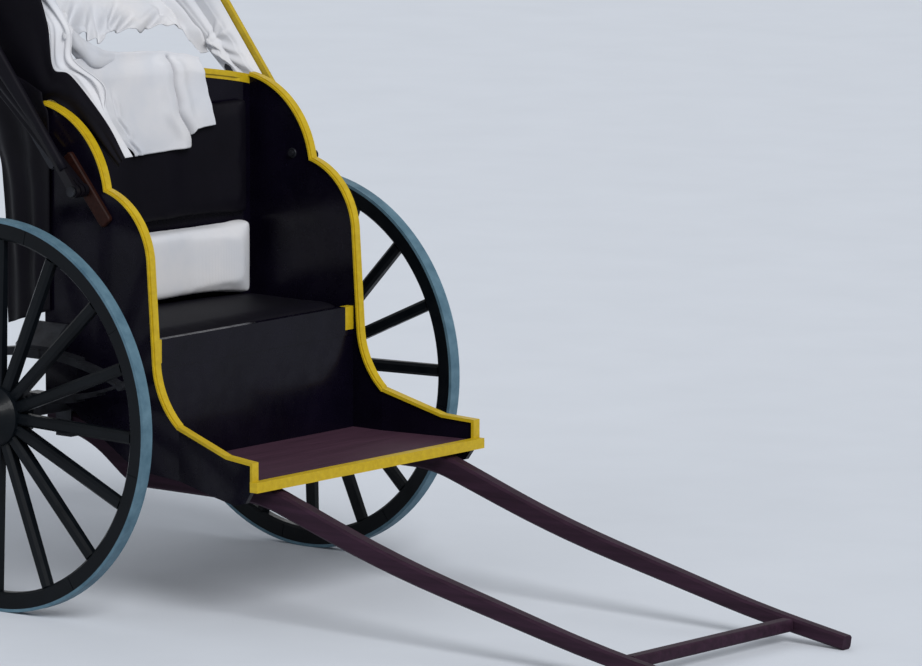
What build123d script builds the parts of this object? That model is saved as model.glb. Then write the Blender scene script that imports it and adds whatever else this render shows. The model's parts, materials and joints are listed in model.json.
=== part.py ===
from build123d import *
import math
import os

# Pulled rickshaw, parked with its shafts on the floor.
# Millimetres, +X forward to the shaft tips, +Y the cart's left, +Z up.
# The origin is on the floor, under the middle of the whole cart.
# Lengths called x are forward of the axle, unless their name says otherwise.

# Driving dimensions of the wheels and axle
WHEEL_R = 500.0
TRACK = 1200.0
TYRE_WIDTH = 34.0
TYRE_THICK = 8.0
FELLOE_DEPTH = 42.0
FELLOE_WIDTH = 32.0
FELLOE_CHAMFER = 6.0
SPOKES = 16
FELLOES = 8
FELLOE_JOINT = 2.0
JOINT_DEEP = 1.5
SPOKE_FOOT = (36.0, 30.0)
SPOKE_HEAD = (28.0, 31.0)
SPOKE_BEVEL = 7.0
NAVE_R = 78.0
NAVE_HALF = 90.0
NAVE_END_R = 50.0
BAND_R = 54.0
BAND_WIDE = 20.0
ARM_R = 15.0
ARM_CLEARANCE = 0.05
AXLE_BED = 34.0
COLLAR_R = 26.0
COLLAR_LONG = 10.0
NUT_R = 26.0
NUT_LONG = 20.0

# Name of side, direction along y, angle of the first spoke
SIDES = [("right", -1, -1.5), ("left", 1, 1.6)]

# Distance from the wheel's middle plane and radius, along the turned nave
NAVE_PROFILE = [
    (NAVE_HALF, NAVE_END_R),
    (60.0, NAVE_END_R),
    (54.0, NAVE_END_R + 6),
    (32.0, NAVE_R - 4),
    (26.0, NAVE_R),
]

# Driving dimensions of the body
BODY_HALF = 405.0
BOARD = 16.0
BACK_X = -20.0
BACK_BOW = 84.0
SEAT_FRONT = 332.0
BODY_BOTTOM = 532.0
CREST_END_Z = 1240.0
CREST_MID_Z = 1292.0
WING_TOP = 1268.0
SEAT_Z = 636.0
SEAT_BOARD = 14.0
BOTTOM_THICK = 12.0
CUSHION_TOP = 704.0
BACK_CUSHION_TOP = 905.0
BACK_CUSHION_THICK = 74.0
BACK_PAD_TOP = 1215.0
BACK_PAD_THICK = 35.0
RAIL_TOP = 696.0
RAIL_DEPTH = 20.0
RAIL_CAP = 32.0
FALL_BOARD = 12.0

# Driving dimensions of the footrest
FOOT_X = 700.0
FOOT_HALF = 440.0
FLOOR_TOP = 380.0
FLOOR_THICK = 15.0
CHEEK = 14.0
CHEEK_REAR_X = 430.0
CHEEK_REAR_Z = 482.0
CHEEK_TRIM = 8.0
CHEEK_TRIM_PROUD = 5.0
BORDER_TOP = 384.0
BORDER_HEIGHT = 26.0
BORDER_DEPTH = 24.0

# Driving dimensions of the shafts
TIP = 1970.0
SHAFT_Y = 335.0
SHAFT_DEEP = 54.0
SHAFT_WIDE = 42.0
TIP_DEEP = 36.0
TIP_WIDE = 34.0
SHAFT_ROUND = 6.0
SHAFT_BEND_X = 655.0
BAR_X = 1800.0
BAR_DEEP = 32.0
BAR_WIDE = 38.0
BAR_ROUND = 8.0
BAR_Z = 45.7
CLIP_IRON = 5.0
CLIP_OPENING_Z = 452.0
CLIP_OPENING_TALL = 58.0
# Side view of an axle clip
CLIP_SIDE = [
    (-26.0, 521.0),
    (26.0, 521.0),
    (26.0, 416.0),
    (-26.0, 416.0),
]

# Driving dimensions of the springs
SPRING_Y = 456.0
SPRING_WIDE = 34.0
SPRING_HALF = 290.0
SPRING_EYE_Z = 586.0
SPRING_EYE_R = 11.0
SPRING_TOP = 655.0
LEAF = 7.0
# Number of the leaf from the outside in, its half length
LEAVES = [(0, SPRING_HALF), (1, 215.0), (2, 145.0)]
CLIP_WIDE = 44.0
BRACKET_HALF = 60.0

# Driving dimensions of the hood
PIVOT_DX = 130.0
PIVOT_Z = 1065.0
PIN_R = 7.0
PIN_LONG = 52.0
PIN_HEAD = 6.0
BOW_THICK = 12.0
BOW_WIDE = 24.0
BOW_CORNER = 150.0
BOW_EYE_R = 17.0
CLOTH = 4.0
BLOCK_LENGTH = 214.0
BLOCK_WIDE = 40.0
BLOCK_THICK = 12.0
BLOCK_LEAN = 40.0
STAY_FOOT = (16.0, 1118.0)
STAY_REACH = 330.0
STAY_WIDE = 18.0
STAY_THICK = 6.0

# Name of bow, lean back from upright in degrees, outer half width, outer reach
BOWS = [
    ("rear", 49.0, 431.0, 776.0),
    ("mid", 43.5, 448.0, 790.0),
    ("front", 38.0, 465.0, 804.0),
]
# Sections of each piece of the hood's cloth when it is folded:
# lean back, inner half width, inner reach, thickness, start of the sides from the pivot
CLOTH_SECTIONS = {
    "rear": [
        (48.6, 434.0, 779.0, 4.0, 400.0),
        (50.6, 455.0, 796.0, 12.0, 440.0),
        (56.0, 462.0, 800.0, 16.0, 470.0),
        (60.5, 446.0, 782.0, 12.0, 480.0),
    ],
    "mid": [(43.1, 451.0, 793.0, 4.0, 250.0), (48.2, 451.0, 793.0, 4.0, 250.0)],
    "front": [(37.6, 468.0, 807.0, 4.0, 250.0), (42.6, 468.0, 807.0, 4.0, 250.0)],
}

# The cart's middle, between the rear edge of the folded hood and the shaft tips
back_lean, _, back_reach, back_thick, _ = CLOTH_SECTIONS["rear"][-1]
HOOD_REAR_X = PIVOT_DX - (back_reach + back_thick) * math.sin(math.radians(back_lean))
AXLE_X = -(HOOD_REAR_X + TIP) / 2
AXLE_Z = WHEEL_R
PIVOT_X = AXLE_X + PIVOT_DX

# The body's back is an arc in plan, about an upright axis in front of it
BACK_R = (BODY_HALF**2 + BACK_BOW**2) / (2 * BACK_BOW)
BACK_CENTRE_X = AXLE_X + BACK_X - BACK_BOW + BACK_R
INNER_HALF = BODY_HALF - BOARD
FLOOR_UNDER = FLOOR_TOP - FLOOR_THICK

# Longer than any piece of the body, for trimming right through it
THROUGH = 900.0

os.makedirs("parts", exist_ok=True)


def save(piece, label):
    piece.part.label = label
    export_step(piece.part, f"parts/{label}.step")


def side_plane(y):
    """Upright plane at y, with x forward of the axle and y up; it extrudes to the right."""
    return Plane(origin=(AXLE_X, y, 0), x_dir=(1, 0, 0), z_dir=(0, -1, 0))


def bow_plane(lean):
    """Plane of a hood bow through the pivot, with x to the left and y along the bow's legs."""
    turn = math.radians(lean)
    return Plane(
        origin=(PIVOT_X, 0, PIVOT_Z),
        x_dir=(0, 1, 0),
        z_dir=(math.cos(turn), 0, math.sin(turn)),
    )


# Wheels
felloe_outer_r = WHEEL_R - TYRE_THICK
felloe_inner_r = felloe_outer_r - FELLOE_DEPTH

for side, sign, first_spoke in SIDES:
    hub = Vector(AXLE_X, sign * TRACK / 2, AXLE_Z)
    middle = Plane(origin=hub, x_dir=(1, 0, 0), z_dir=(0, -1, 0))

    with BuildPart() as tyre:
        with BuildSketch(middle):
            Circle(WHEEL_R)
            Circle(felloe_outer_r, mode=Mode.SUBTRACT)
        extrude(amount=TYRE_WIDTH / 2, both=True)
    save(tyre, f"tyre_{side}")

    first_joint = first_spoke - 180 / SPOKES
    with BuildPart() as felloes:
        with BuildSketch(middle):
            Circle(felloe_outer_r)
            Circle(felloe_inner_r, mode=Mode.SUBTRACT)
        extrude(amount=FELLOE_WIDTH / 2, both=True)
        inner_edges = felloes.edges().filter_by(GeomType.CIRCLE).sort_by(SortBy.RADIUS)[0:2]
        chamfer(inner_edges, length=FELLOE_CHAMFER)
        for face in (-1, 1):
            with BuildSketch(middle.offset(face * FELLOE_WIDTH / 2)):
                with PolarLocations(felloe_outer_r - FELLOE_DEPTH / 2, FELLOES, start_angle=first_joint):
                    Rectangle(FELLOE_DEPTH + 2, FELLOE_JOINT)
            extrude(amount=-face * JOINT_DEEP, mode=Mode.SUBTRACT)
    save(felloes, f"felloes_{side}")

    with BuildPart() as spokes:
        for number in range(SPOKES):
            turn = math.radians(first_spoke + 360 / SPOKES * number)
            radial = Vector(math.cos(turn), 0, math.sin(turn))
            for distance, (across, along) in ((NAVE_R - 4, SPOKE_FOOT), (felloe_inner_r, SPOKE_HEAD)):
                end_plane = Plane(origin=hub + radial * distance, x_dir=(0, 1, 0), z_dir=radial)
                with BuildSketch(end_plane):
                    outline = Rectangle(across, along)
                    chamfer(outline.vertices(), length=SPOKE_BEVEL)
            loft(ruled=True)
        with BuildSketch(middle):
            Circle(felloe_inner_r)
            Circle(NAVE_R, mode=Mode.SUBTRACT)
        extrude(amount=SPOKE_FOOT[0], both=True, mode=Mode.INTERSECT)
    save(spokes, f"spokes_{side}")

    with BuildPart() as nave:
        with BuildSketch(Plane(origin=hub, x_dir=(0, 1, 0), z_dir=(1, 0, 0))):
            with BuildLine():
                outer = [(distance, radius) for distance, radius in NAVE_PROFILE]
                inner = [(-distance, radius) for distance, radius in reversed(NAVE_PROFILE)]
                bore = ARM_R + ARM_CLEARANCE
                Polyline((NAVE_HALF, bore), *outer, *inner, (-NAVE_HALF, bore), close=True)
            make_face()
        revolve(axis=Axis(hub, (0, 1, 0)))
    save(nave, f"nave_{side}")

    with BuildPart() as bands:
        for end in (-1, 1):
            with BuildSketch(middle.offset(end * (NAVE_HALF - 2 - BAND_WIDE / 2))):
                Circle(BAND_R)
                Circle(NAVE_END_R, mode=Mode.SUBTRACT)
            extrude(amount=BAND_WIDE / 2, both=True)
    save(bands, f"nave_bands_{side}")

# Axle with round arms for the wheels, and a nut on each end
arm_end = TRACK / 2 + NAVE_HALF + NUT_LONG + 2
bed_end = TRACK / 2 - NAVE_HALF - COLLAR_LONG - 2
axle_plane = Plane(origin=(AXLE_X, 0, AXLE_Z), x_dir=(1, 0, 0), z_dir=(0, 1, 0))
with BuildPart() as axle:
    with BuildSketch(axle_plane):
        RectangleRounded(AXLE_BED, AXLE_BED, 4)
    extrude(amount=bed_end, both=True)
    with BuildSketch(axle_plane):
        Circle(ARM_R)
    extrude(amount=arm_end, both=True)
    for end in (-1, 1):
        with BuildSketch(axle_plane.offset(end * (bed_end + COLLAR_LONG / 2))):
            Circle(COLLAR_R)
        extrude(amount=COLLAR_LONG / 2, both=True)
save(axle, "axle")

for side, sign, _ in SIDES:
    nut_middle = sign * (TRACK / 2 + NAVE_HALF + 2 + NUT_LONG / 2)
    with BuildPart() as nut:
        with BuildSketch(axle_plane.offset(nut_middle)):
            RegularPolygon(radius=NUT_R, side_count=6)
            Circle(ARM_R, mode=Mode.SUBTRACT)
        extrude(amount=NUT_LONG / 2, both=True)
    save(nut, f"axle_nut_{side}")

# Shafts: the middle line of each, from the rear end to the tip
under_floor_z = FLOOR_UNDER - SHAFT_DEEP / 2
# Place on the line forward of the axle, height, depth of the shaft there
SHAFT_LINE = [
    (-60.0, 458.0, SHAFT_DEEP - 6),
    (80.0, 446.0, SHAFT_DEEP - 2),
    (230.0, under_floor_z, SHAFT_DEEP),
    (SHAFT_BEND_X, under_floor_z, SHAFT_DEEP),
    (1060.0, 206.0, 48.0),
    (1700.0, 62.0, 38.0),
    (TIP, 17.8, TIP_DEEP),
]
SHAFT_RADII = [300.0, 150.0, 400.0, 4000.0, 4000.0]


def offset_line(points, side):
    """Upper (side 1) or lower (side -1) edge of a bar, from its middle line and depths."""
    edge = []
    for i, (x, z, depth) in enumerate(points):
        before = points[max(i - 1, 0)]
        after = points[min(i + 1, len(points) - 1)]
        normals = []
        for start, end in ((before, (x, z)), ((x, z), after)):
            run = math.hypot(end[0] - start[0], end[1] - start[1])
            if run > 0:
                normals.append(((start[1] - end[1]) / run, (end[0] - start[0]) / run))
        nx = sum(normal[0] for normal in normals) / len(normals)
        nz = sum(normal[1] for normal in normals) / len(normals)
        reach = side * depth / 2 / (nx * nx + nz * nz)
        edge.append((x + nx * reach, z + nz * reach))
    return edge


shaft_rear_x = AXLE_X + SHAFT_LINE[0][0] - SHAFT_DEEP
shaft_tip_x = AXLE_X + TIP + SHAFT_DEEP
for side, sign, _ in SIDES:
    with BuildPart() as shaft:
        with BuildSketch(side_plane(sign * SHAFT_Y)):
            with BuildLine():
                top = FilletPolyline(*offset_line(SHAFT_LINE, 1), radius=SHAFT_RADII)
                under = FilletPolyline(*offset_line(SHAFT_LINE, -1), radius=SHAFT_RADII)
                Line(top @ 0, under @ 0)
                Line(top @ 1, under @ 1)
            make_face()
        extrude(amount=SHAFT_WIDE / 2, both=True)
        with BuildSketch(Plane.XY.offset(-1)):
            with BuildLine():
                Polyline(
                    (shaft_rear_x, sign * SHAFT_Y - SHAFT_WIDE / 2),
                    (AXLE_X + SHAFT_BEND_X, sign * SHAFT_Y - SHAFT_WIDE / 2),
                    (shaft_tip_x, sign * SHAFT_Y - TIP_WIDE / 2),
                    (shaft_tip_x, sign * SHAFT_Y + TIP_WIDE / 2),
                    (AXLE_X + SHAFT_BEND_X, sign * SHAFT_Y + SHAFT_WIDE / 2),
                    (shaft_rear_x, sign * SHAFT_Y + SHAFT_WIDE / 2),
                    close=True,
                )
            make_face()
        extrude(amount=THROUGH, mode=Mode.INTERSECT)
        long_edges = shaft.edges().filter_by(lambda edge: edge.bounding_box().size.X > 12)
        chamfer(long_edges, length=SHAFT_ROUND)
    save(shaft, f"shaft_{side}")

# Crossbar between the shafts, which the puller pushes against
with BuildPart() as crossbar:
    with BuildSketch(side_plane(0)):
        with Locations((BAR_X, BAR_Z)):
            RectangleRounded(BAR_WIDE, BAR_DEEP, BAR_ROUND)
    extrude(amount=SHAFT_Y - SHAFT_WIDE / 2, both=True)
save(crossbar, "crossbar")

# Iron clips that hang the shafts' rear ends from the axle
for side, sign, _ in SIDES:
    with BuildPart() as clip:
        with BuildSketch(side_plane(sign * SHAFT_Y)):
            with BuildLine():
                Polyline(*CLIP_SIDE, close=True)
            make_face()
        extrude(amount=SHAFT_WIDE / 2 + CLIP_IRON, both=True)
        with BuildSketch(side_plane(sign * SHAFT_Y)):
            with Locations((0, AXLE_Z)):
                Rectangle(AXLE_BED, AXLE_BED)
        extrude(amount=SHAFT_WIDE, both=True, mode=Mode.SUBTRACT)
        with BuildSketch(side_plane(sign * SHAFT_Y)):
            with Locations((0, CLIP_OPENING_Z)):
                Rectangle(AXLE_BED * 3, CLIP_OPENING_TALL)
        extrude(amount=SHAFT_WIDE / 2, both=True, mode=Mode.SUBTRACT)
    save(clip, f"axle_clip_{side}")

# Side panels of black lacquered board, with the yellow moulding along their front edges
# Stretch of the edge, start, point that the arc passes, end
PANEL_FRONT = [
    ("wing", (BACK_X, WING_TOP), (122.0, 1196.0), (186.0, 1064.0)),
    ("arm", (186.0, 1064.0), (287.0, 1002.0), (331.0, 885.0)),
    ("post", (331.0, 885.0), None, (347.0, 640.0)),
    ("knee", (347.0, 640.0), (370.0, 555.0), (CHEEK_REAR_X, CHEEK_REAR_Z)),
]
PANEL_REST = [
    (CHEEK_REAR_X, CHEEK_REAR_Z),
    (CHEEK_REAR_X, 352.0),
    (284.0, FLOOR_UNDER),
    (12.0, BODY_BOTTOM),
    (BACK_X, BODY_BOTTOM),
    (BACK_X, WING_TOP),
]
# The moulding is clipped to the front edges by this outline
TRIM_CLIP = [
    (BACK_X, WING_TOP + 200),
    (BACK_X, 1100.0),
    (200.0, 600.0),
    (CHEEK_REAR_X, 400.0),
    (CHEEK_REAR_X, WING_TOP + 200),
]
# Inner and outer edge of each step of the moulding from the board's edge, its width
TRIM_STEPS = [(0.0, 5.0, 28.0), (5.0, 9.0, 20.0)]


def panel_outline():
    """The outline of a side panel, from the crest down the front and back along the bottom."""
    for _, start, through, end in PANEL_FRONT:
        if through is None:
            Line(start, end)
        else:
            ThreePointArc(start, through, end)
    Polyline(*PANEL_REST)


for side, sign, _ in SIDES:
    board_plane = side_plane(sign * (BODY_HALF - BOARD / 2))
    with BuildPart() as panel:
        with BuildSketch(board_plane):
            with BuildLine():
                panel_outline()
            make_face()
        extrude(amount=BOARD / 2, both=True)
    save(panel, f"side_panel_{side}")

    with BuildPart() as trim:
        for inner, outer, width in TRIM_STEPS:
            with BuildSketch(board_plane):
                with BuildLine():
                    panel_outline()
                make_face()
                offset(amount=outer)
                with BuildSketch(board_plane, mode=Mode.SUBTRACT):
                    with BuildLine():
                        panel_outline()
                    make_face()
                    if inner > 0:
                        offset(amount=inner)
                with BuildLine():
                    Polyline(*TRIM_CLIP, close=True)
                make_face(mode=Mode.INTERSECT)
            extrude(amount=width / 2, both=True)
    save(trim, f"trim_{side}")


def back_sector(inner_r, outer_r, half_width):
    """Plan of a curved piece of the back, between two radii, as wide each way as half_width."""
    half_turn = math.asin(half_width / BACK_R)
    corners = []
    for radius, turn in (
        (outer_r, math.pi - half_turn),
        (outer_r, math.pi),
        (outer_r, math.pi + half_turn),
        (inner_r, math.pi + half_turn),
        (inner_r, math.pi),
        (inner_r, math.pi - half_turn),
    ):
        corners.append((BACK_CENTRE_X + radius * math.cos(turn), radius * math.sin(turn)))
    ThreePointArc(*corners[0:3])
    Line(corners[2], corners[3])
    ThreePointArc(*corners[3:6])
    Line(corners[5], corners[0])


def crest_outline(bottom, lift):
    """Front view of the back below the crest's arch, which stands lift above the board."""
    half = BODY_HALF + BOARD
    end_z = CREST_END_Z + lift
    Polyline((-half, end_z), (-half, bottom), (half, bottom), (half, end_z))
    ThreePointArc((half, end_z), (0, CREST_MID_Z + lift), (-half, end_z))


front_view = Plane(origin=(AXLE_X + SEAT_FRONT, 0, 0), x_dir=(0, 1, 0), z_dir=(1, 0, 0))
back_clip_x = AXLE_X + BACK_X - THROUGH / 2

# Back board, curved in plan, under an arched crest moulding in two steps
with BuildPart() as back_panel:
    with BuildSketch(Plane.XY.offset(BODY_BOTTOM)):
        with BuildLine():
            back_sector(BACK_R - BOARD, BACK_R, BODY_HALF)
        make_face()
        with Locations((back_clip_x, 0)):
            Rectangle(THROUGH, 2 * BODY_HALF, mode=Mode.INTERSECT)
    extrude(amount=THROUGH)
    with BuildSketch(front_view):
        with BuildLine():
            crest_outline(BODY_BOTTOM, 0)
        make_face()
    extrude(amount=-THROUGH, mode=Mode.INTERSECT)
save(back_panel, "back_panel")

# Foot and top of each step of the crest above the board, how far it stands out
CREST_STEPS = [(0.0, 10.0, 4.0), (10.0, 24.0, 9.0)]
with BuildPart() as crest:
    for foot, top, proud in CREST_STEPS:
        with BuildPart(mode=Mode.ADD) as step:
            with BuildSketch(Plane.XY.offset(BODY_BOTTOM)):
                with BuildLine():
                    back_sector(BACK_R - BOARD - proud, BACK_R + proud, BODY_HALF)
                make_face()
                with Locations((back_clip_x - 0.2, 0)):
                    Rectangle(THROUGH, 2 * BODY_HALF, mode=Mode.INTERSECT)
            extrude(amount=THROUGH)
            with BuildSketch(front_view):
                with BuildLine():
                    crest_outline(BODY_BOTTOM, top)
                make_face()
                with BuildLine():
                    crest_outline(BODY_BOTTOM, foot)
                make_face(mode=Mode.SUBTRACT)
            extrude(amount=-THROUGH, mode=Mode.INTERSECT)
save(crest, "crest_moulding")

# Boards of the sloping bottom and the seat
BOTTOM_SIDE = [
    (-110.0, BODY_BOTTOM),
    (12.0, BODY_BOTTOM),
    (284.0, FLOOR_UNDER),
    (330.0, FLOOR_UNDER),
    (330.0, FLOOR_TOP),
    (286.0, FLOOR_TOP),
    (15.0, BODY_BOTTOM + BOTTOM_THICK),
    (-110.0, BODY_BOTTOM + BOTTOM_THICK),
]


def seat_plan(front, half_width, gap):
    """Plan of a seat board or cushion: straight in front and at the sides, curved along the back."""
    with Locations((BACK_CENTRE_X, 0)):
        Circle(BACK_R - BOARD - gap)
    with Locations((AXLE_X + front - THROUGH / 2, 0)):
        Rectangle(THROUGH, 2 * half_width, mode=Mode.INTERSECT)


with BuildPart() as bottom_board:
    with BuildSketch(side_plane(0)):
        with BuildLine():
            Polyline(*BOTTOM_SIDE, close=True)
        make_face()
    extrude(amount=INNER_HALF, both=True)
    with BuildSketch(Plane.XY):
        seat_plan(SEAT_FRONT, INNER_HALF, 0)
    extrude(amount=THROUGH, mode=Mode.INTERSECT)
save(bottom_board, "bottom_board")

with BuildPart() as seat_board:
    with BuildSketch(Plane.XY.offset(SEAT_Z - SEAT_BOARD)):
        seat_plan(SEAT_FRONT, INNER_HALF, 0)
    extrude(amount=SEAT_BOARD)
save(seat_board, "seat_board")

rail_middle = (SEAT_FRONT - RAIL_DEPTH / 2, (SEAT_Z + RAIL_TOP) / 2)
with BuildPart() as seat_rail:
    with BuildSketch(side_plane(0)):
        with Locations(rail_middle):
            Rectangle(RAIL_DEPTH, RAIL_TOP - SEAT_Z)
    extrude(amount=INNER_HALF - RAIL_CAP, both=True)
save(seat_rail, "seat_rail")

with BuildPart() as rail_caps:
    for side, sign, _ in SIDES:
        with BuildSketch(side_plane(sign * (INNER_HALF - RAIL_CAP / 2))):
            with Locations(rail_middle):
                Rectangle(RAIL_DEPTH, RAIL_TOP - SEAT_Z)
        extrude(amount=RAIL_CAP / 2, both=True)
save(rail_caps, "seat_rail_caps")

seat_under = SEAT_Z - SEAT_BOARD
with BuildPart() as seat_front:
    with BuildSketch(side_plane(0)):
        with Locations((SEAT_FRONT - 2 - FALL_BOARD / 2, (FLOOR_TOP + seat_under) / 2)):
            Rectangle(FALL_BOARD, seat_under - FLOOR_TOP)
    extrude(amount=INNER_HALF, both=True)
save(seat_front, "seat_front")

# Cushions, plain closed forms at their real size
with BuildPart() as seat_cushion:
    with BuildSketch(Plane.XY.offset(SEAT_Z)):
        seat_plan(SEAT_FRONT - RAIL_DEPTH - 2, INNER_HALF - 4, 2)
    extrude(amount=CUSHION_TOP - SEAT_Z)
save(seat_cushion, "seat_cushion")

back_face_r = BACK_R - BOARD - 1
with BuildPart() as back_cushion:
    with BuildSketch(Plane.XY.offset(CUSHION_TOP)):
        with BuildLine():
            back_sector(back_face_r - BACK_CUSHION_THICK, back_face_r, INNER_HALF - 14)
        make_face()
    extrude(amount=BACK_CUSHION_TOP - CUSHION_TOP)
    fillet(back_cushion.edges().filter_by(Axis.Z), radius=20)
save(back_cushion, "back_cushion")

with BuildPart() as back_pad:
    with BuildSketch(Plane.XY.offset(BACK_CUSHION_TOP + 2)):
        with BuildLine():
            back_sector(back_face_r - BACK_PAD_THICK, back_face_r, INNER_HALF - 12)
        make_face()
    extrude(amount=BACK_PAD_TOP - BACK_CUSHION_TOP)
save(back_pad, "back_pad")

# White cloth laid over the crest, its front hanging inside the body
FLAP_TOP = CREST_MID_Z + 42
FLAP_FRONT_Z = 1076.0
FLAP_BACK_Z = 1190.0
FLAP_RIGHT_Y = -130.0
FLAP_LEFT_Y = 300.0
flap_front_x = BACK_CENTRE_X - back_face_r + BACK_PAD_THICK + 2
flap_rear_x = BACK_CENTRE_X - BACK_R - 10
with BuildPart() as crest_cloth:
    for edge_y in (FLAP_RIGHT_Y, FLAP_LEFT_Y):
        with BuildSketch(Plane.XZ):
            with BuildLine():
                Polyline(
                    (flap_front_x, FLAP_FRONT_Z),
                    (flap_front_x, FLAP_TOP),
                    (flap_rear_x, FLAP_TOP),
                    (flap_rear_x, FLAP_BACK_Z),
                    (flap_rear_x - CLOTH, FLAP_BACK_Z),
                    (flap_rear_x - CLOTH, FLAP_TOP + CLOTH),
                    (flap_front_x + CLOTH, FLAP_TOP + CLOTH),
                    (flap_front_x + CLOTH, FLAP_FRONT_Z),
                    close=True,
                )
            make_face()
        upright = Axis((BACK_CENTRE_X, 0, 0), (0, 0, -math.copysign(1, edge_y)))
        revolve(axis=upright, revolution_arc=math.degrees(math.asin(abs(edge_y) / BACK_R)))
save(crest_cloth, "crest_cloth")

# Footrest: floor, flaring cheeks with yellow edges, and the yellow border in front
# Side view of a cheek, from its rear lower corner along the bottom and back along the top
CHEEK_SIDE = [
    (CHEEK_REAR_X, 352.0),
    (560.0, 328.0),
    (636.0, 316.0),
    (678.0, 326.0),
    (FOOT_X, BORDER_TOP - BORDER_HEIGHT),
    (FOOT_X, 424.0),
    (610.0, 430.0),
    (CHEEK_REAR_X, CHEEK_REAR_Z),
]
CHEEK_TRIM_SIDE = [
    (CHEEK_REAR_X, CHEEK_REAR_Z),
    (610.0, 430.0),
    (FOOT_X, 424.0),
    (FOOT_X, BORDER_TOP),
    (FOOT_X + CHEEK_TRIM, BORDER_TOP),
    (FOOT_X + CHEEK_TRIM, 424.0 + CHEEK_TRIM),
    (610.0, 430.0 + CHEEK_TRIM),
    (CHEEK_REAR_X, CHEEK_REAR_Z + CHEEK_TRIM + 1),
]
with BuildPart() as footboard:
    with BuildSketch(Plane.XY.offset(FLOOR_UNDER)):
        with BuildLine():
            Polyline(
                (AXLE_X + 330.5, -INNER_HALF),
                (AXLE_X + CHEEK_REAR_X, -INNER_HALF),
                (AXLE_X + FOOT_X, -(FOOT_HALF - CHEEK)),
                (AXLE_X + FOOT_X, FOOT_HALF - CHEEK),
                (AXLE_X + CHEEK_REAR_X, INNER_HALF),
                (AXLE_X + 330.5, INNER_HALF),
                close=True,
            )
        make_face()
    extrude(amount=FLOOR_THICK)
save(footboard, "footboard")

for side, sign, _ in SIDES:
    for label, outline, start_x, end_x, proud in (
        (f"cheek_{side}", CHEEK_SIDE, CHEEK_REAR_X, FOOT_X, 0.0),
        (f"cheek_trim_{side}", CHEEK_TRIM_SIDE, CHEEK_REAR_X + 0.5, FOOT_X + CHEEK_TRIM, CHEEK_TRIM_PROUD),
    ):
        with BuildPart() as cheek:
            with BuildSketch(side_plane(sign * FOOT_HALF)):
                with BuildLine():
                    Polyline(*outline, close=True)
                make_face()
            extrude(amount=FOOT_HALF / 2, both=True)
            with BuildSketch(Plane.XY):
                with BuildLine():
                    Polyline(
                        (AXLE_X + start_x, sign * (BODY_HALF - CHEEK - proud)),
                        (AXLE_X + start_x, sign * (BODY_HALF + proud)),
                        (AXLE_X + end_x, sign * (FOOT_HALF + proud)),
                        (AXLE_X + end_x, sign * (FOOT_HALF - CHEEK - proud)),
                        close=True,
                    )
                make_face()
            extrude(amount=THROUGH, mode=Mode.INTERSECT)
        save(cheek, label)

with BuildPart() as border:
    with BuildSketch(side_plane(0)):
        with Locations((FOOT_X + BORDER_DEPTH / 2, BORDER_TOP - BORDER_HEIGHT / 2)):
            Rectangle(BORDER_DEPTH, BORDER_HEIGHT)
    extrude(amount=FOOT_HALF + CHEEK_TRIM_PROUD, both=True)
save(border, "foot_border")

# Leaf springs between the axle and the body's sides
spring_low = AXLE_Z + AXLE_BED / 2
for side, sign, _ in SIDES:
    spring_plane = side_plane(sign * SPRING_Y)
    with BuildPart() as spring:
        with BuildSketch(spring_plane):
            with Locations((-SPRING_HALF, SPRING_EYE_Z), (SPRING_HALF, SPRING_EYE_Z)):
                Circle(SPRING_EYE_R)
        extrude(amount=SPRING_WIDE / 2, both=True)
        for rise, sense in ((spring_low, 1), (SPRING_TOP, -1)):
            inner_face = rise + sense * LEAF * (len(LEAVES) - 1)
            for number, half in LEAVES:
                start = inner_face - sense * LEAF * number
                end = start + (SPRING_EYE_Z - inner_face) * (half / SPRING_HALF) ** 2
                with BuildSketch(spring_plane):
                    with BuildLine():
                        ThreePointArc((-half, end), (0, start), (half, end))
                        Line((half, end), (half, end + sense * LEAF))
                        ThreePointArc(
                            (half, end + sense * LEAF), (0, start + sense * LEAF), (-half, end + sense * LEAF)
                        )
                        Line((-half, end + sense * LEAF), (-half, end))
                    make_face()
                extrude(amount=SPRING_WIDE / 2, both=True)
            with BuildSketch(spring_plane):
                with Locations((0, rise + sense * (LEAF * len(LEAVES) + 4) / 2)):
                    Rectangle(CLIP_WIDE, LEAF * len(LEAVES) + 4)
            extrude(amount=SPRING_WIDE / 2 + 4, both=True)
    save(spring, f"spring_{side}")

    with BuildPart() as bracket:
        with BuildSketch(Plane(origin=(AXLE_X, 0, 0), x_dir=(0, 1, 0), z_dir=(1, 0, 0))):
            with BuildLine():
                Polyline(
                    (sign * BODY_HALF, SPRING_TOP),
                    (sign * (SPRING_Y + SPRING_WIDE / 2), SPRING_TOP),
                    (sign * (SPRING_Y + SPRING_WIDE / 2), SPRING_TOP + 8),
                    (sign * (BODY_HALF + 8), SPRING_TOP + 60),
                    (sign * BODY_HALF, SPRING_TOP + 60),
                    close=True,
                )
            make_face()
        extrude(amount=BRACKET_HALF, both=True)
    save(bracket, f"spring_bracket_{side}")

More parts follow.
